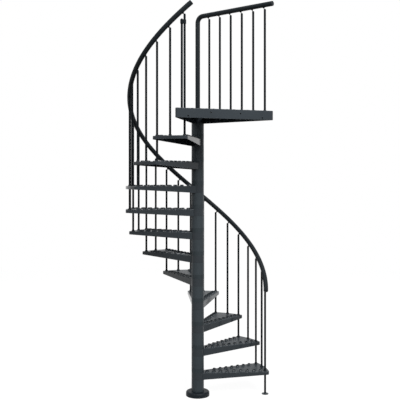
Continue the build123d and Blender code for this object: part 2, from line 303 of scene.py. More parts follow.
# Shader node groups
class Nodes:
    """A short way to add and join nodes in one tree."""

    def __init__(self, tree):
        self.tree = tree

    def add(self, kind, **properties):
        """Adds a node and sets its properties."""
        node = self.tree.nodes.new(kind)
        for name, value in properties.items():
            setattr(node, name, value)
        return node

    def link(self, source, target):
        """Joins an output to an input."""
        self.tree.links.new(source, target)

    def feed(self, socket, value):
        """Joins an output to an input, or sets the input to a plain value."""
        if isinstance(value, bpy.types.NodeSocket):
            self.link(value, socket)
        elif socket.type == "RGBA":
            socket.default_value = (*value, 1)
        else:
            socket.default_value = value

    def fill(self, node, **values):
        """Feeds a node's named inputs; an underscore stands for a space."""
        for name, value in values.items():
            self.feed(node.inputs[name.replace("_", " ")], value)
        return node

    def math(self, operation, first, second=0.0, clamp=False):
        """A Math node."""
        node = self.add("ShaderNodeMath", operation=operation, use_clamp=clamp)
        self.feed(node.inputs[0], first)
        self.feed(node.inputs[1], second)
        return node.outputs[0]

    def noise(self, vector, scale, detail=2.0):
        """A Noise Texture read at a position."""
        node = self.add("ShaderNodeTexNoise")
        return self.fill(node, Vector=vector, Scale=scale, Detail=detail).outputs["Fac"]

    def ranged(self, value, low, high, new_low, new_high):
        """A Map Range node, held to its range."""
        node = self.add("ShaderNodeMapRange", clamp=True)
        self.fill(node, Value=value, From_Min=low, From_Max=high, To_Min=new_low, To_Max=new_high)
        return node.outputs["Result"]

    def scaled_color(self, color, factor):
        """A colour made lighter or darker by a factor."""
        node = self.add("ShaderNodeVectorMath", operation="SCALE")
        self.link(color, node.inputs[0])
        self.link(factor, node.inputs["Scale"])
        return node.outputs[0]

    def mixed_color(self, factor, first, second):
        """A blend of two colours."""
        node = self.add("ShaderNodeMix", data_type="RGBA")
        self.link(factor, node.inputs["Factor"])
        colors = [socket for socket in node.inputs if socket.type == "RGBA"]
        self.link(first, colors[0])
        self.link(second, colors[1])
        return next(socket for socket in node.outputs if socket.type == "RGBA")


FLOAT, COLOR, VECTOR = "NodeSocketFloat", "NodeSocketColor", "NodeSocketVector"


def node_group(name, inputs, outputs):
    """A new node group: its Nodes helper, the values given to it and the results it gives."""
    tree = bpy.data.node_groups.new(name, "ShaderNodeTree")
    for label, kind in inputs:
        tree.interface.new_socket(name=label, in_out="INPUT", socket_type=kind)
    for label, kind in outputs:
        tree.interface.new_socket(name=label, in_out="OUTPUT", socket_type=kind)
    nodes = Nodes(tree)
    return nodes, nodes.add("NodeGroupInput").outputs, nodes.add("NodeGroupOutput").inputs


def finish_group(nodes, given, result, shade, spread, height):
    """Gives a group's results: its colour times a shade, its roughness plus a spread, and a height."""
    nodes.link(nodes.scaled_color(given["Color"], shade), result["Color"])
    roughness = nodes.math("ADD", given["Roughness"], spread, clamp=True)
    nodes.link(roughness, result["Roughness"])
    nodes.link(height, result["Height"])


def powder_coat_group():
    """Fine ripples of a sprayed and baked coating, with a faint change of shade over the length."""
    nodes, given, result = node_group(
        "Powder coat",
        [("Position", VECTOR), ("Color", COLOR), ("Grain Size", FLOAT), ("Shade Change", FLOAT),
         ("Roughness", FLOAT)],
        [("Color", COLOR), ("Roughness", FLOAT), ("Height", FLOAT)])
    clouds_per_metre = 5.0
    flecks_per_grain = 0.6
    fleck_change = 0.07
    roughness_change = 0.04
    place = given["Position"]
    grains_per_metre = nodes.math("DIVIDE", 1.0, given["Grain Size"])
    ripple = nodes.noise(place, grains_per_metre, detail=1.0)
    cloud = nodes.noise(place, clouds_per_metre, detail=3.0)
    speck = nodes.noise(place, nodes.math("MULTIPLY", grains_per_metre, flecks_per_grain))
    low = nodes.math("SUBTRACT", 1.0, given["Shade Change"])
    high = nodes.math("ADD", 1.0, given["Shade Change"])
    shade = nodes.ranged(cloud, 0.3, 0.7, low, high)
    fleck = nodes.ranged(speck, 0.35, 0.65, 1 - fleck_change, 1 + fleck_change)
    spread = nodes.ranged(cloud, 0.3, 0.7, -roughness_change, roughness_change)
    finish_group(nodes, given, result, nodes.math("MULTIPLY", shade, fleck), spread, ripple)


def moulded_group():
    """The fine spark-eroded skin of a moulded plastic part."""
    nodes, given, result = node_group(
        "Moulded skin",
        [("Position", VECTOR), ("Color", COLOR), ("Pit Size", FLOAT), ("Roughness", FLOAT)],
        [("Color", COLOR), ("Roughness", FLOAT), ("Height", FLOAT)])
    clouds_per_metre = 9.0
    shade_change = 0.08
    roughness_change = 0.05
    pits_per_metre = nodes.math("DIVIDE", 1.0, given["Pit Size"])
    cells = nodes.add("ShaderNodeTexVoronoi")
    nodes.fill(cells, Vector=given["Position"], Scale=pits_per_metre)
    cloud = nodes.noise(given["Position"], clouds_per_metre)
    pits = nodes.ranged(cells.outputs["Distance"], 0.0, 0.6, 0.0, 1.0)
    shade = nodes.ranged(cloud, 0.3, 0.7, 1 - shade_change, 1 + shade_change)
    spread = nodes.ranged(pits, 0.0, 1.0, roughness_change, -roughness_change)
    finish_group(nodes, given, result, shade, spread, pits)


def footfall_group():
    """Faces that look up are duller, with light scuffs and dust in soft patches."""
    nodes, given, result = node_group(
        "Footfall",
        [("Position", VECTOR), ("Color", COLOR), ("Roughness", FLOAT), ("Walked Roughness", FLOAT),
         ("Dust Color", COLOR), ("Amount", FLOAT)],
        [("Color", COLOR), ("Roughness", FLOAT)])
    patches_per_metre = 22.0
    scuffs_per_metre = 160.0
    scuff_share = 0.5
    dust_roughness = 0.25
    geometry = nodes.add("ShaderNodeNewGeometry")
    parts = nodes.add("ShaderNodeSeparateXYZ")
    nodes.link(geometry.outputs["Normal"], parts.inputs[0])
    upward = nodes.ranged(parts.outputs["Z"], 0.75, 0.98, 0.0, 1.0)
    place = given["Position"]
    patches = nodes.noise(place, patches_per_metre, detail=4.0)
    patches = nodes.ranged(patches, 0.40, 0.72, 0.0, 1.0)
    scuffs = nodes.ranged(nodes.noise(place, scuffs_per_metre), 0.45, 0.75, 0.0, 1.0)
    both = nodes.math("ADD", patches, nodes.math("MULTIPLY", scuffs, scuff_share))
    worn = nodes.math("MULTIPLY", both, upward)
    mask = nodes.math("MULTIPLY", worn, given["Amount"], clamp=True)
    color = nodes.mixed_color(mask, given["Color"], given["Dust Color"])
    nodes.link(color, result["Color"])
    dulled = nodes.ranged(upward, 0.0, 1.0, given["Roughness"], given["Walked Roughness"])
    dusty = nodes.math("ADD", dulled, nodes.math("MULTIPLY", mask, dust_roughness), clamp=True)
    nodes.link(dusty, result["Roughness"])


# Materials
def emptied(data):
    """Empties the node tree of a new material or world."""
    data.use_nodes = True
    data.node_tree.nodes.clear()
    return Nodes(data.node_tree)


def new_material(name, specular):
    """A node material with a plain shader: its Nodes helper, the shader and its position socket."""
    nodes = emptied(bpy.data.materials.new(name))
    output = nodes.add("ShaderNodeOutputMaterial")
    shader = nodes.add("ShaderNodeBsdfPrincipled")
    nodes.fill(shader, Specular_IOR_Level=specular)
    nodes.link(shader.outputs[0], output.inputs["Surface"])
    place = nodes.add("ShaderNodeTexCoord")
    return nodes, shader, place.outputs["Object"]


def placed_group(nodes, group, **values):
    """A group placed in a material, with its own values."""
    node = nodes.add("ShaderNodeGroup", node_tree=bpy.data.node_groups[group])
    return nodes.fill(node, **values)


def finish_shader(nodes, shader, surface, height, depth):
    """Feeds the shader from a placed group, with a bump of a real depth."""
    bump = nodes.fill(nodes.add("ShaderNodeBump"), Strength=1.0, Distance=depth, Height=height)
    nodes.fill(shader, Base_Color=surface.outputs["Color"], Roughness=surface.outputs["Roughness"],
               Normal=bump.outputs["Normal"])


def coat_material(name, color, roughness, specular, walked=False):
    """Powder-coated steel; a walked surface also gathers dust and scuffs."""
    finish = bpy.context.scene.stair_finish
    nodes, shader, place = new_material(name, specular)
    coat = placed_group(nodes, "Powder coat", Position=place, Color=color, Roughness=roughness,
                        Grain_Size=finish.grain_size, Shade_Change=finish.shade_change)
    surface = coat
    if walked:
        surface = placed_group(nodes, "Footfall", Position=place, Color=coat.outputs["Color"],
                               Roughness=coat.outputs["Roughness"],
                               Walked_Roughness=finish.walked_roughness,
                               Dust_Color=finish.dust_color, Amount=finish.dust_amount)
    finish_shader(nodes, shader, surface, coat.outputs["Height"], finish.grain_height)


def plastic_material(name, color, roughness):
    """Moulded plastic."""
    finish = bpy.context.scene.stair_finish
    nodes, shader, place = new_material(name, finish.specular_level)
    skin = placed_group(nodes, "Moulded skin", Position=place, Color=color, Roughness=roughness,
                        Pit_Size=finish.pit_size)
    finish_shader(nodes, shader, skin, skin.outputs["Height"], finish.pit_height)


def weld_material(name, color, roughness):
    """Powder coat over the ripples of a weld bead."""
    finish = bpy.context.scene.stair_finish
    ripples_per_metre = 420.0
    ripple_share = 4.0
    nodes, shader, place = new_material(name, finish.specular_level)
    coat = placed_group(nodes, "Powder coat", Position=place, Color=color, Roughness=roughness,
                        Grain_Size=finish.grain_size, Shade_Change=finish.weld_shade_change)
    ripples = nodes.noise(place, ripples_per_metre, detail=1.0)
    ripples = nodes.math("MULTIPLY", ripples, ripple_share)
    height = nodes.math("ADD", coat.outputs["Height"], ripples)
    finish_shader(nodes, shader, coat, height, finish.weld_height)


# Mesh making
def add_object(name, data):
    """Adds an object to the scene."""
    made = bpy.data.objects.new(name, data)
    bpy.context.scene.collection.objects.link(made)
    return made


def mesh_object(name, bm, material):
    """Turns a bmesh into a smooth-shaded object of the scene."""
    mesh = bpy.data.meshes.new(name)
    bm.to_mesh(mesh)
    bm.free()
    mesh.materials.append(bpy.data.materials[material])
    mesh.shade_smooth()
    return add_object(name, mesh)


def new_piece(name, bm, material, node=None):
    """Turns a bmesh into a piece of the stair, which may stand for a CAD node."""
    bmesh.ops.remove_doubles(bm, verts=bm.verts, dist=JOIN_DISTANCE)
    bmesh.ops.recalc_face_normals(bm, faces=bm.faces)
    piece = mesh_object(name, bm, material)
    piece.data.set_sharp_from_angle(angle=SHARP_ANGLE)
    weighted = piece.modifiers.new("Even shading", "WEIGHTED_NORMAL")
    weighted.keep_sharp = True
    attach(piece, BODY)
    if node:
        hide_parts(node)


def full_circle(steps):
    """Evenly spaced angles of a whole turn."""
    return [2 * math.pi * step / steps for step in range(steps)]


def strip(bm, first, second):
    """Faces between two lines of as many vertices."""
    for index in range(len(first) - 1):
        bm.faces.new((first[index], first[index + 1], second[index + 1], second[index]))


def tube(bm, first, second):
    """Faces between two closed rings of as many vertices."""
    strip(bm, [*first, first[0]], [*second, second[0]])


def lathe(bm, profile, place=Matrix(), steps=COLUMN_STEPS, closed=True, stretch=0.0):
    """Turns a profile of (radius, height) round an axis, or round a slot stretched along X."""
    rings = []
    for radius, height in profile:
        ring = []
        for step in range(steps):
            turn = 2 * math.pi * (step + 0.5) / steps
            x = radius * math.cos(turn) + math.copysign(stretch, math.cos(turn))
            ring.append(bm.verts.new(place @ Vector((x, radius * math.sin(turn), height))))
        rings.append(ring)
    for low, high in zip(rings, rings[1:]):
        tube(bm, low, high)
    if closed:
        tube(bm, rings[-1], rings[0])
    return rings


def rounded(profile, radius, steps=3):
    """Rounds every corner of a closed profile of (a, b) points, as far as its sides allow."""
    points = [Vector(point) for point in profile]
    result = []
    for index, corner in enumerate(points):
        before = points[index - 1] - corner
        after = points[(index + 1) % len(points)] - corner
        reach = min(radius, 0.45 * before.length, 0.45 * after.length)
        start = corner + before.normalized() * reach
        end = corner + after.normalized() * reach
        for step in range(steps + 1):
            share = step / steps
            result.append(start.lerp(corner, share).lerp(corner.lerp(end, share), share))
    return result


def box_section(inner, outer, low, high):
    """The profile of a plain ring."""
    return [(inner, low), (outer, low), (outer, high), (inner, high)]


def bolt_head(bm, centre):
    """A chamfered hexagon bolt head with its washer, hanging under a sheet."""
    washer_r = 0.68 * BOLT_WIDTH
    corner_r = BOLT_WIDTH / math.sqrt(3)
    chamfer = 0.08 * BOLT_WIDTH
    hollow = 0.0005
    place = Matrix.Translation(centre) @ Matrix.Scale(-1, 4, Vector((0, 0, 1)))
    section = box_section(2 * hollow, washer_r, 0, WASHER_THICKNESS)
    washer = rounded(section, radius=0.0004, steps=2)
    lathe(bm, washer, place, SMALL_STEPS)
    lathe(bm, [(hollow, WASHER_THICKNESS), (corner_r, WASHER_THICKNESS),
               (corner_r, BOLT_HEIGHT - chamfer), (corner_r - 1.6 * chamfer, BOLT_HEIGHT),
               (hollow, BOLT_HEIGHT)], place, steps=6)


# Folded sheet
class Outline:
    """The outline of a folded sheet from above, left open at the hub, with its inside on the left."""

    def __init__(self, arcs, first_side, last_side):
        self.points = [pair for arc in arcs for pair in arc]
        self.first_side = first_side
        self.last_side = last_side

    def at(self, inset, hub_radius):
        """The outline drawn in by an inset, from the hub's circle round to the hub's circle."""
        path = [point + inward * inset for point, inward in self.points]
        first = slide_to_hub(path[0], self.first_side, hub_radius)
        last = slide_to_hub(path[-1], self.last_side, hub_radius)
        return [first, *path, last]

    def from_sides(self, spot):
        """How far a spot lies inside the nearer of the two straight sides."""
        return min((spot - point).dot(inward) for point, inward in (self.points[0], self.points[-1]))


def slide_to_hub(point, side, radius):
    """Where a straight side through a point meets the hub's circle."""
    along = point.dot(side)
    across_squared = point.length_squared - along ** 2
    return point - side * (along - math.sqrt(radius ** 2 - across_squared))


def arc_points(centre, radius, start, end, steps=8):
    """Points of an arc, each with its inward direction."""
    made = []
    for step in range(steps + 1):
        turn = start + (end - start) * step / steps
        outward = Vector((math.cos(turn), math.sin(turn)))
        made.append((centre + outward * radius, -outward))
    return made


def left_of(direction):
    """The direction a quarter turn to the left."""
    return Vector((-direction.y, direction.x))


def tread_corner():
    """The front side of a tread whose middle line is +X: where it starts, and its direction."""
    tread = bpy.context.scene.stair_tread
    half = math.asin((BAR_CIRCLE_R * math.sin(BAR_STEP) + tread.side_margin) / TREAD_R)
    corner = Vector((TREAD_R * math.cos(half), -TREAD_R * math.sin(half)))
    root = Vector((0, -tread.root_half_width))
    return root, (corner - root).normalized()


def tread_outline():
    """Outline of a tread whose middle line is +X."""
    root, side = tread_corner()
    radius = bpy.context.scene.stair_tread.corner_radius
    base = root + left_of(side) * radius
    along = base.dot(side)
    reach = -along + math.sqrt(along ** 2 - base.length_squared + (TREAD_R - radius) ** 2)
    centre = base + side * reach
    turn = flat_angle(centre)
    start = flat_angle(-left_of(side))
    front = arc_points(centre, radius, start, turn)
    rim = arc_points(Vector((0, 0)), TREAD_R, turn, -turn, 30)
    back = arc_points(Vector((centre.x, -centre.y)), radius, -turn, -start)
    return Outline((front, rim[1:-1], back), side, Vector((side.x, -side.y)))


def landing_outline():
    """Outline of the landing: left side, face and right side."""
    radius = bpy.context.scene.stair_landing.corner_radius
    left = Vector((-LANDING_HALF, LANDING_FRONT))
    toward = left.normalized()
    root = Vector((toward.y, -toward.x)) * bpy.context.scene.stair_tread.root_half_width
    side = (left - root).normalized()
    heading = flat_angle(side)
    centre = left - side * radius * math.tan(-heading / 2) + left_of(side) * radius
    start = heading - math.pi / 2
    first = arc_points(centre, radius, start, -math.pi / 2)
    last = arc_points(Vector((-centre.x, centre.y)), radius, -math.pi / 2, -math.pi - start)
    return Outline((first, last), side, Vector((-side.x, side.y)))


def raised_hole(bm, centre, tread):
    """A perforation pushed up through the sheet: its foot ring on top and its foot ring below."""
    foot, hole = tread.bump_radius, tread.bump_hole
    high, sheet = tread.bump_height, tread.sheet
    flank = foot - hole
    profile = [
        (foot, 0), (foot - 0.06 * flank, 0.03 * high), (foot - 0.20 * flank, 0.14 * high),
        (hole + 0.45 * flank, 0.58 * high), (hole + 0.24 * flank, 0.87 * high),
        (hole + 0.12 * flank, 0.98 * high), (hole + 0.04 * flank, high), (hole, 0.95 * high),
        (hole, high - 0.8 * sheet), (hole + 0.20 * flank, 0.72 * high - 0.8 * sheet),
        (hole + 0.62 * flank, 0.10 * high - sheet), (foot - 0.10 * flank, -0.96 * sheet),
        (foot - 0.04 * flank, -sheet)]
    place = Matrix.Translation((centre.x, centre.y, 0)) @ Matrix.Rotation(tread.slot_turn, 4, "Z")
    rings = lathe(bm, profile, place, SLOT_STEPS, closed=False, stretch=tread.slot_stretch)
    return rings[0], rings[-1]


def loop_edges(bm, ring):
    """The edges of a closed ring of vertices."""
    return [bm.edges.get((a, b)) or bm.edges.new((a, b)) for a, b in zip(ring, ring[1:] + ring[:1])]


def fill_with_holes(bm, border, holes):
    """Fills a flat border round its holes."""
    edges = loop_edges(bm, border)
    for hole in holes:
        edges += loop_edges(bm, hole)
    bmesh.ops.triangle_fill(bm, use_beauty=True, use_dissolve=False, edges=edges)


def fold_levels(tread):
    """The lines of a folded edge, from the top's bend round to the top's underside.

    Each is its inset, its height, and whether that is over the fold's lower edge instead of the top.
    """
    sheet, bend = tread.sheet, tread.bend_radius
    turns = [math.pi / 2 * step / FOLD_STEPS for step in range(FOLD_STEPS + 1)]
    outside = [(bend * (1 - math.sin(turn)), -bend * (1 - math.cos(turn)), False)
               for turn in turns]
    lower_edge = [(0, SHEET_EDGE, True), (0.3 * SHEET_EDGE, 0.3 * SHEET_EDGE, True),
                  (SHEET_EDGE, 0, True), (sheet - SHEET_EDGE, 0, True), (sheet, SHEET_EDGE, True)]
    inside = [(sheet, -2 * sheet, False), (1.3 * sheet, -1.3 * sheet, False),
              (2 * sheet, -sheet, False)]
    return outside + lower_edge + inside


def round_hub(first, last, radius, height, steps):
    """Points round the hub from one direction to another, the shorter way."""
    start = flat_angle(first)
    swing = (flat_angle(last) - start + math.pi) % (2 * math.pi) - math.pi
    return [on_circle(radius, start + swing * step / steps, height) for step in range(steps + 1)]


def hub_arc(bm, row, radius):
    """Vertices round the hub that join the last vertex of a row to its first."""
    points = round_hub(row[-1].co, row[0].co, radius, row[0].co.z, 12)
    return [bm.verts.new(point) for point in points[1:-1]]


def folded_sheet(bm, outline, depth_at, bumps, wall_holes=()):
    """A sheet folded down along its outline, with raised holes in its top and holes in its face."""
    tread = bpy.context.scene.stair_tread
    hub_radius = COLUMN_R - SHEET_IN_HUB
    rows = []
    for inset, height, over_edge in fold_levels(tread):
        row = []
        for point in outline.at(inset, hub_radius):
            drop = depth_at(point) if over_edge else 0
            row.append(bm.verts.new((point.x, point.y, height - drop)))
        rows.append(row)
    face = len(rows[0]) // 2 - 1
    for level, (upper, lower) in enumerate(zip(rows, rows[1:])):
        if wall_holes and level in (OUTER_WALL, INNER_WALL):
            strip(bm, upper[:face + 1], lower[:face + 1])
            strip(bm, upper[face + 1:], lower[face + 1:])
        else:
            strip(bm, upper, lower)
    for end in (0, -1):
        bm.faces.new([row[end] for row in rows])
    top, below = rows[0], rows[-1]
    top_arc = hub_arc(bm, top, hub_radius)
    below_arc = hub_arc(bm, below, hub_radius)
    strip(bm, [top[-1], *top_arc, top[0]], [below[-1], *below_arc, below[0]])
    rings = [raised_hole(bm, centre, tread) for centre in bumps]
    fill_with_holes(bm, top + top_arc, [foot for foot, _ in rings])
    fill_with_holes(bm, below + below_arc, [foot for _, foot in rings])
    if wall_holes:
        skins = [[rows[level][face], rows[level][face + 1],
                  rows[level + 1][face + 1], rows[level + 1][face]]
                 for level in (OUTER_WALL, INNER_WALL)]
        drilled_wall(bm, skins, wall_holes)


def drilled_wall(bm, skins, wall_holes):
    """A flat stretch of a fold, given by the corners of its two skins, with holes through both."""
    rims = []
    for corners in skins:
        y = corners[0].co.y
        circles = []
        for x, z, radius in wall_holes:
            circles.append([bm.verts.new((x + radius * math.cos(turn), y, z + radius * math.sin(turn)))
                            for turn in full_circle(SMALL_STEPS)])
        fill_with_holes(bm, corners, circles)
        rims.append(circles)
    for front, back in zip(*rims):
        tube(bm, front, back)


def hub_tube(bm, depth):
    """The hub that threads on the pole, with rounded ends."""
    section = box_section(HUB_BORE, COLUMN_R, -depth, HUB_ABOVE)
    lathe(bm, rounded(section, radius=0.001, steps=2))


def weld_bead(bm, points, sides=8):
    """A rippled bead of weld along a line of points."""
    ripple_height, ripple_turn = 0.14, 2.3
    rings = []
    for index, point in enumerate(points):
        after = points[min(index + 1, len(points) - 1)]
        before = points[max(index - 1, 0)]
        across, up = frame_across((after - before).normalized())
        swell = WELD_R * (1 + ripple_height * math.sin(ripple_turn * index))
        rings.append([bm.verts.new(point + (across * math.cos(turn) + up * math.sin(turn)) * swell)
                      for turn in full_circle(sides)])
    for low, high in zip(rings, rings[1:]):
        tube(bm, low, high)
    bm.faces.new(rings[0])
    bm.faces.new(rings[-1])


def frame_across(direction):
    """Two directions square to a third."""
    helper = Vector((0, 0, 1)) if abs(direction.z) < 0.9 else Vector((1, 0, 0))
    across = direction.cross(helper).normalized()
    return across, across.cross(direction)


def hub_welds(bm, outline, depth_at, place):
    """The beads where a folded sheet meets its hub: over the top sheet and down both folds."""
    top_gap, foot_gap = 0.003, 0.002
    arc_steps, drop_steps = 70, 34
    out, lift = 0.0006, 0.0004
    radius = COLUMN_R + out
    ends = outline.at(0, radius)
    seam = round_hub(ends[-1], ends[0], radius, lift, arc_steps)
    weld_bead(bm, [place @ point for point in seam])
    for point in (ends[0], ends[-1]):
        length = depth_at(point) - top_gap - foot_gap
        weld_bead(bm, [place @ Vector((point.x, point.y, -top_gap - length * step / drop_steps))
                       for step in range(drop_steps + 1)])


def tread_depth(point):
    """Depth of a tread's folded edge: deep at the hub and shallow at the rim."""
    rim_depth = bpy.context.scene.stair_tread.rim_depth
    share = (point.x - COLUMN_R) / (TREAD_R - COLUMN_R)
    return TREAD_HUB_DEPTH + (rim_depth - TREAD_HUB_DEPTH) * share


def landing_depth(point):
    """Depth of the landing's folded edge."""
    hub_depth = bpy.context.scene.stair_landing.hub_depth
    share = (-point.y - COLUMN_R) / (-LANDING_FRONT - COLUMN_R)
    return hub_depth + (LANDING_SKIRT - hub_depth) * share


# Perforations
def spaced_slots(centres, outline, bars, side_gap, hub_gap):
    """The raised slots that keep clear of the sides, the hub, the bars' collars and each other."""
    tread = bpy.context.scene.stair_tread
    foot = tread.bump_radius
    collar_gap, slot_gap = 0.002, 0.0005
    reach = Vector((math.cos(tread.slot_turn), math.sin(tread.slot_turn))) * tread.slot_stretch
    placed, taken = [], []
    for centre in centres:
        line = [centre + reach * share for share in (-1, -0.5, 0, 0.5, 1)]
        if all(outline.from_sides(spot) > foot + side_gap
               and spot.length > COLUMN_R + foot + hub_gap
               and all((spot - bar).length > foot + COLLAR_R + collar_gap for bar in bars)
               and all((spot - other).length > 2 * foot + slot_gap for other in taken)
               for spot in line):
            placed.append(centre)
            taken += line
    return placed


def tread_bump_centres(outline):
    """Where a tread's perforations stand: one row along its front side and one along its back."""
    tread = bpy.context.scene.stair_tread
    root, side = tread_corner()
    first = root + left_of(side) * tread.row_inset
    bars = [on_circle(BAR_CIRCLE_R, BAR_STEP * step).xy for step in (-1, 0, 1)]
    centres = []
    for way, start, count in ((1, tread.front_row_start, tread.front_row_count),
                              (-1, tread.back_row_start, tread.back_row_count)):
        for index in range(count):
            centre = first + side * (start + index * tread.bump_pitch)
            centres.append(Vector((centre.x, way * centre.y)))
    return spaced_slots(centres, outline, bars, side_gap=0.0015, hub_gap=0.002)


def landing_bump_centres(outline):
    """Where the landing's perforations stand: rows along its face."""
    landing = bpy.context.scene.stair_landing
    feet = [*landing_bar_feet(landing.bar_count), end_bar_foot(), LAST_BAR]
    first_row = LANDING_FRONT + landing.face_margin
    row_count = int((-COLUMN_R - first_row) / landing.row_step) + 1
    reach = int(LANDING_HALF / landing.bump_pitch)
    centres = [Vector((index * landing.bump_pitch, first_row + row * landing.row_step))
               for row in range(row_count) for index in range(-reach, reach + 1)]
    bars = [place.xy for place in feet]
    return spaced_slots(centres, outline, bars, side_gap=0.004, hub_gap=0.01)


# Operators
def assign(piece, material):
    """Puts a material in every slot of a CAD node."""
    if not piece.material_slots:
        piece.data.materials.append(None)
    for slot in piece.material_slots:
        slot.material = bpy.data.materials[material]


class STAIR_OT_finishes(bpy.types.Operator):
    """Makes the shader groups and every finish, and puts them on the CAD nodes that stay in view"""

    bl_idname = "stair.finishes"
    bl_label = "Finishes"
    bl_options = {"REGISTER", "UNDO"}

    def execute(self, context):
        finish = context.scene.stair_finish
        powder_coat_group()
        moulded_group()
        footfall_group()
        coat_material("column_coat", finish.coat_color, finish.coat_roughness, finish.specular_level)
        coat_material("tread_coat", finish.tread_color, finish.sheet_roughness,
                      finish.specular_level, walked=True)
        coat_material("landing_coat", finish.tread_color, finish.landing_roughness,
                      finish.specular_level, walked=True)
        coat_material("bar_coat", finish.bar_color, finish.bar_roughness, finish.bar_specular)
        coat_material("handrail_coat", finish.rail_color, finish.rail_roughness, finish.rail_specular)
        coat_material("fitting_coat", finish.fitting_color, finish.fitting_roughness,
                      finish.bar_specular)
        plastic_material("ring_plastic", finish.ring_color, finish.plastic_roughness)
        plastic_material("cover_plastic", finish.plastic_color, finish.plastic_roughness)
        plastic_material("trim_plastic", finish.collar_color, finish.plastic_roughness)
        plastic_material("cap_plastic", finish.plastic_color, finish.cap_roughness)
        weld_material("welded_seam", finish.tread_color, finish.weld_roughness)
        kept = {
            "column_coat": ("base_plate", "centre_pole", "base_sleeve", "column_sleeves", "column_cap"),
            "bar_coat": ("first_baluster", "tread_balusters", "shared_balusters", "last_baluster",
                         "landing_balusters", "landing_end_bar", "end_bar_clamp"),
            "handrail_coat": ("handrail_lower", "handrail_upper", "landing_rail"),
            "cap_plastic": ("handrail_caps", "landing_rail_cap"),
            "fitting_coat": ("rail_pins", "landing_pins"),
        }
        for material, nodes in kept.items():
            for name in nodes:
                assign(frame["nodes"][name], material)
        return {"FINISHED"}


def sheet_piece(node, material, outline, depth_at, bumps, hub_depth, place, welds, holes=()):
    """Builds a folded sheet with its hub in place of a CAD node, and adds its weld beads."""
    bm = bmesh.new()
    folded_sheet(bm, outline, depth_at, bumps, holes)
    hub_tube(bm, hub_depth)
    bm.transform(place)
    new_piece(f"folded_{node}", bm, material, node)
    hub_welds(welds, outline, depth_at, place)


class STAIR_OT_treads(bpy.types.Operator):
    """Builds the folded, perforated treads with their hubs"""

    bl_idname = "stair.treads"
    bl_label = "Treads"
    bl_options = {"REGISTER", "UNDO"}

    def execute(self, context):
        outline = tread_outline()
        bumps = tread_bump_centres(outline)
        welds = bmesh.new()
        for number, node in enumerate(TREADS, 1):
            middle = bar_angle(2 * number - 1)
            place = raised(tread_top(number)) @ Matrix.Rotation(middle, 4, "Z")
            sheet_piece(node, "tread_coat", outline, tread_depth, bumps, TREAD_HUB_DEPTH, place, welds)
        new_piece("tread_welds", welds, "welded_seam")
        return {"FINISHED"}


class STAIR_OT_landing(bpy.types.Operator):
    """Builds the folded, perforated landing with its drilled face"""

    bl_idname = "stair.landing"
    bl_label = "Landing"
    bl_options = {"REGISTER", "UNDO"}

    def execute(self, context):
        outline = landing_outline()
        holes = []
        for name in ("landing_bolts_outer", "landing_bolts_inner"):
            bolts = mount(name)
            x, _, z = bolts["pos_m"]
            reach = bolts["dims"]["spacing_x_mm"] / MM_PER_METRE / 2
            radius = bolts["dims"]["hole_r_mm"] / MM_PER_METRE
            holes += [(x + way * reach, z - LANDING_TOP, radius) for way in (-1, 1)]
        welds = bmesh.new()
        sheet_piece("landing", "landing_coat", outline, landing_depth, landing_bump_centres(outline),
                    context.scene.stair_landing.hub_depth, raised(LANDING_TOP), welds, holes)
        new_piece("landing_welds", welds, "welded_seam")
        return {"FINISHED"}


def cover_profile():
    """Half section of the base cover: a thin wall with a rounded shoulder and small lips."""
    wall, rounding, lip = 0.004, 0.017, 0.0012
    turns = [math.pi / 2 * step / 8 for step in range(9)]

    def shoulder(radius):
        return [(BASE_COVER_R - rounding + radius * math.cos(turn),
                 BASE_COVER_TOP - rounding + radius * math.sin(turn)) for turn in turns]

    return [(BASE_COVER_R - wall, 0), (BASE_COVER_R - lip, 0), (BASE_COVER_R, lip),
            *shoulder(rounding),
            (COVER_HOLE_R + lip, BASE_COVER_TOP), (COVER_HOLE_R, BASE_COVER_TOP - lip),
            (COVER_HOLE_R, BASE_COVER_TOP - wall),
            *reversed(shoulder(rounding - wall))]


class STAIR_OT_column_trim(bpy.types.Operator):
    """Turns the joint rings and the base cover"""

    bl_idname = "stair.column_trim"
    bl_label = "Column rings and base cover"
    bl_options = {"REGISTER", "UNDO"}

    def execute(self, context):
        low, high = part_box("joint_rings")
        height = high.z - low.z - (TREAD_COUNT - 1) * RISE
        ring = rounded(box_section(HUB_BORE, COLUMN_R, 0, height), radius=0.0016)
        bm = bmesh.new()
        for number in range(TREAD_COUNT):
            lathe(bm, ring, raised(low.z + number * RISE))
        new_piece("turned_rings", bm, "ring_plastic", "joint_rings")
        bm = bmesh.new()
        lathe(bm, cover_profile(), steps=COVER_STEPS)
        new_piece("turned_base_cover", bm, "cover_plastic", "base_cover")
        return {"FINISHED"}


def landing_feet(context):
    """Where every bar that stands on the landing alone meets its walking face."""
    return [*landing_bar_feet(context.scene.stair_landing.bar_count), end_bar_foot()]


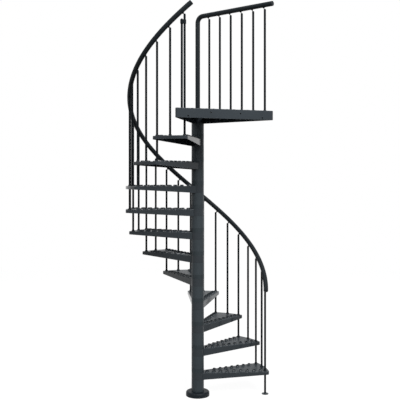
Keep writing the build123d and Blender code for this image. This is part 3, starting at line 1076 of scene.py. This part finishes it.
class STAIR_OT_bar_trim(bpy.types.Operator):
    """Turns the collars at the bars' feet and the foot plate of the first bar"""

    bl_idname = "stair.bar_trim"
    bl_label = "Bar collars and foot"
    bl_options = {"REGISTER", "UNDO"}

    def execute(self, context):
        stair_feet = [bar_foot(bar, number) for number in range(1, TREAD_COUNT + 1)
                      for bar in range(2 * number - 2, 2 * number + 1)]
        collar = rounded([(BAR_BORE, 0), (COLLAR_R, 0), (COLLAR_R, COLLAR_RIM),
                          (COLLAR_TIP_R, COLLAR_HEIGHT), (BAR_BORE, COLLAR_HEIGHT)], radius=0.0009)
        for name, feet, node in (("turned_collars", stair_feet, "baluster_collars"),
                                 ("turned_landing_collars", landing_feet(context), "landing_collars")):
            bm = bmesh.new()
            for foot in feet:
                lathe(bm, collar, Matrix.Translation(foot), COLLAR_STEPS)
            new_piece(name, bm, "trim_plastic", node)
        floor_place = Matrix.Translation((FIRST_BAR.x, FIRST_BAR.y, 0))
        hollow, step_in, socket_height = 0.002, 0.002, 0.008
        plate = rounded(box_section(hollow, FOOT_R, 0, FOOT_TOP), radius=0.0014)
        socket_top = FOOT_TOP + socket_height
        socket = rounded([(BAR_BORE, FOOT_TOP), (COLLAR_R - step_in, FOOT_TOP),
                          (COLLAR_TIP_R, socket_top), (BAR_BORE, socket_top)], radius=0.0008)
        bm = bmesh.new()
        lathe(bm, plate, floor_place, FOOT_STEPS)
        lathe(bm, socket, floor_place, COLLAR_STEPS)
        new_piece("turned_foot", bm, "column_coat", "baluster_foot")
        return {"FINISHED"}


class STAIR_OT_fixings(bpy.types.Operator):
    """Adds the bolts that hold the bars under the treads and the landing"""

    bl_idname = "stair.fixings"
    bl_label = "Fixings"
    bl_options = {"REGISTER", "UNDO"}

    def execute(self, context):
        stair_feet = [bar_foot(bar, (bar + 1) // 2) for bar in range(1, 2 * TREAD_COUNT + 1)]
        sheet = Vector((0, 0, context.scene.stair_tread.sheet))
        bm = bmesh.new()
        for foot in [*stair_feet, *landing_feet(context)]:
            bolt_head(bm, foot - sheet)
        new_piece("bar_bolts", bm, "fitting_coat")
        return {"FINISHED"}


# Stage
def seen_directly(nodes):
    """1 for rays from the camera and for reflections of them, and 0 for light off matt faces."""
    path = nodes.add("ShaderNodeLightPath")
    seen = nodes.math("MAXIMUM", path.outputs["Is Camera Ray"], path.outputs["Is Glossy Ray"])
    return nodes.math("MAXIMUM", seen, path.outputs["Is Transmission Ray"])


def split_by_ray(nodes, unseen, seen, output):
    """Feeds an output from one shader for rays that see it directly, and another for the rest."""
    mix = nodes.add("ShaderNodeMixShader")
    nodes.link(seen_directly(nodes), mix.inputs["Fac"])
    nodes.link(unseen.outputs[0], mix.inputs[1])
    nodes.link(seen.outputs[0], mix.inputs[2])
    nodes.link(mix.outputs[0], output.inputs["Surface"])


def floor_material(name, stage):
    """A floor that is white to the camera and in reflections, and darker for light off it."""
    nodes = emptied(bpy.data.materials.new(name))
    output = nodes.add("ShaderNodeOutputMaterial")
    shadowed = nodes.fill(nodes.add("ShaderNodeBsdfDiffuse"), Color=[stage.floor_color] * 3)
    glow = nodes.fill(nodes.add("ShaderNodeEmission"), Strength=stage.floor_glow)
    both = nodes.add("ShaderNodeAddShader")
    nodes.link(shadowed.outputs[0], both.inputs[0])
    nodes.link(glow.outputs[0], both.inputs[1])
    dim = nodes.fill(nodes.add("ShaderNodeBsdfDiffuse"), Color=[stage.floor_bounce] * 3)
    split_by_ray(nodes, dim, both, output)


def studio_world(name, strength):
    """Surroundings that are white to the camera and in reflections, and weak for matt faces."""
    world = bpy.data.worlds.new(name)
    nodes = emptied(world)
    output = nodes.add("ShaderNodeOutputWorld")
    weak, white = nodes.add("ShaderNodeBackground"), nodes.add("ShaderNodeBackground")
    nodes.fill(weak, Color=(0.9, 0.95, 1.0), Strength=strength)
    nodes.fill(white, Color=(1, 1, 1))
    split_by_ray(nodes, weak, white, output)
    return world


def studio_floor(stage, facing):
    """A plain square floor under the stair."""
    bm = bmesh.new()
    half = stage.floor_half
    corners = [(-half, -half, 0), (half, -half, 0), (half, half, 0), (-half, half, 0)]
    bm.faces.new([bm.verts.new(facing @ Vector(corner)) for corner in corners])
    floor_material("studio_floor", stage)
    mesh_object("studio_floor", bm, "studio_floor")


def soft_lamp(stage, name, power, width, aside, rise, distance):
    """A round lamp aimed at the column, given by its angles in degrees from the line of view."""
    data = bpy.data.lights.new(name, "AREA")
    data.shape = "DISK"
    data.size = width
    data.energy = power
    angle = stage.camera_turn - math.pi / 2 + math.radians(aside)
    rise = math.radians(rise)
    height = stage.lamp_aim + distance * math.sin(rise)
    place = on_circle(distance * math.cos(rise), angle, height)
    aim = Vector((0, 0, stage.lamp_aim)) - place
    lamp = add_object(name, data)
    lamp.location = place
    lamp.rotation_euler = aim.to_track_quat("-Z", "Y").to_euler()


def studio_camera(stage, facing):
    """The camera, level and turned from the landing's front."""
    data = bpy.data.cameras.new("studio_camera")
    data.lens = stage.lens
    data.shift_y = stage.shift_y
    data.clip_end = 60.0
    place = Vector((stage.camera_aside, -stage.camera_distance, stage.camera_height))
    camera = add_object("studio_camera", data)
    camera.location = facing @ place
    camera.rotation_euler = (math.pi / 2, 0, stage.camera_turn)
    return camera


class STAIR_OT_stage(bpy.types.Operator):
    """Sets up the floor, lamps, surroundings and camera"""

    bl_idname = "stair.stage"
    bl_label = "Studio"
    bl_options = {"REGISTER", "UNDO"}

    def execute(self, context):
        scene = context.scene
        stage = scene.stair_stage
        facing = Matrix.Rotation(stage.camera_turn, 4, "Z")
        studio_floor(stage, facing)
        soft_lamp(stage, "key_lamp", stage.key_power, width=5.5, aside=26, rise=39, distance=10)
        soft_lamp(stage, "fill_lamp", stage.fill_power, width=8.0, aside=-40, rise=42, distance=13)
        soft_lamp(stage, "top_lamp", stage.top_power, width=6.0, aside=0, rise=89, distance=10)
        scene.world = studio_world("studio_world", stage.world_strength)
        scene.camera = studio_camera(stage, facing)
        scene.view_settings.view_transform = "Standard"
        return {"FINISHED"}


class STAIR_PT_panel(bpy.types.Panel):
    """The stair's panel in the 3D view's sidebar"""

    bl_label = "Spiral Staircase"
    bl_idname = "STAIR_PT_panel"
    bl_space_type = "VIEW_3D"
    bl_region_type = "UI"
    bl_category = "Stair"

    def draw(self, context):
        for operator in OPERATORS:
            self.layout.operator(operator.bl_idname)
        for name in SETTINGS:
            group = getattr(context.scene, name)
            box = self.layout.box()
            for prop in group.bl_rna.properties:
                if prop.identifier not in ("name", "rna_type"):
                    box.prop(group, prop.identifier)


SETTINGS = {
    "stair_finish": FinishSettings,
    "stair_tread": TreadSettings,
    "stair_landing": LandingSettings,
    "stair_stage": StageSettings,
}
OPERATORS = (STAIR_OT_finishes, STAIR_OT_treads, STAIR_OT_landing, STAIR_OT_column_trim,
             STAIR_OT_bar_trim, STAIR_OT_fixings, STAIR_OT_stage)


def register():
    """Adds the settings, operators and panel."""
    for name, group in SETTINGS.items():
        bpy.utils.register_class(group)
        setattr(bpy.types.Scene, name, PointerProperty(type=group))
    for item in (*OPERATORS, STAIR_PT_panel):
        bpy.utils.register_class(item)


def unregister():
    """Takes away the panel, operators and settings."""
    for item in (STAIR_PT_panel, *reversed(OPERATORS)):
        bpy.utils.unregister_class(item)
    for name, group in reversed(SETTINGS.items()):
        delattr(bpy.types.Scene, name)
        bpy.utils.unregister_class(group)


def main():
    """Builds the whole scene through its operators."""
    register()
    bpy.ops.stair.finishes()
    bpy.ops.stair.treads()
    bpy.ops.stair.landing()
    bpy.ops.stair.column_trim()
    bpy.ops.stair.bar_trim()
    bpy.ops.stair.fixings()
    bpy.ops.stair.stage()


if __name__ == "__main__":
    main()
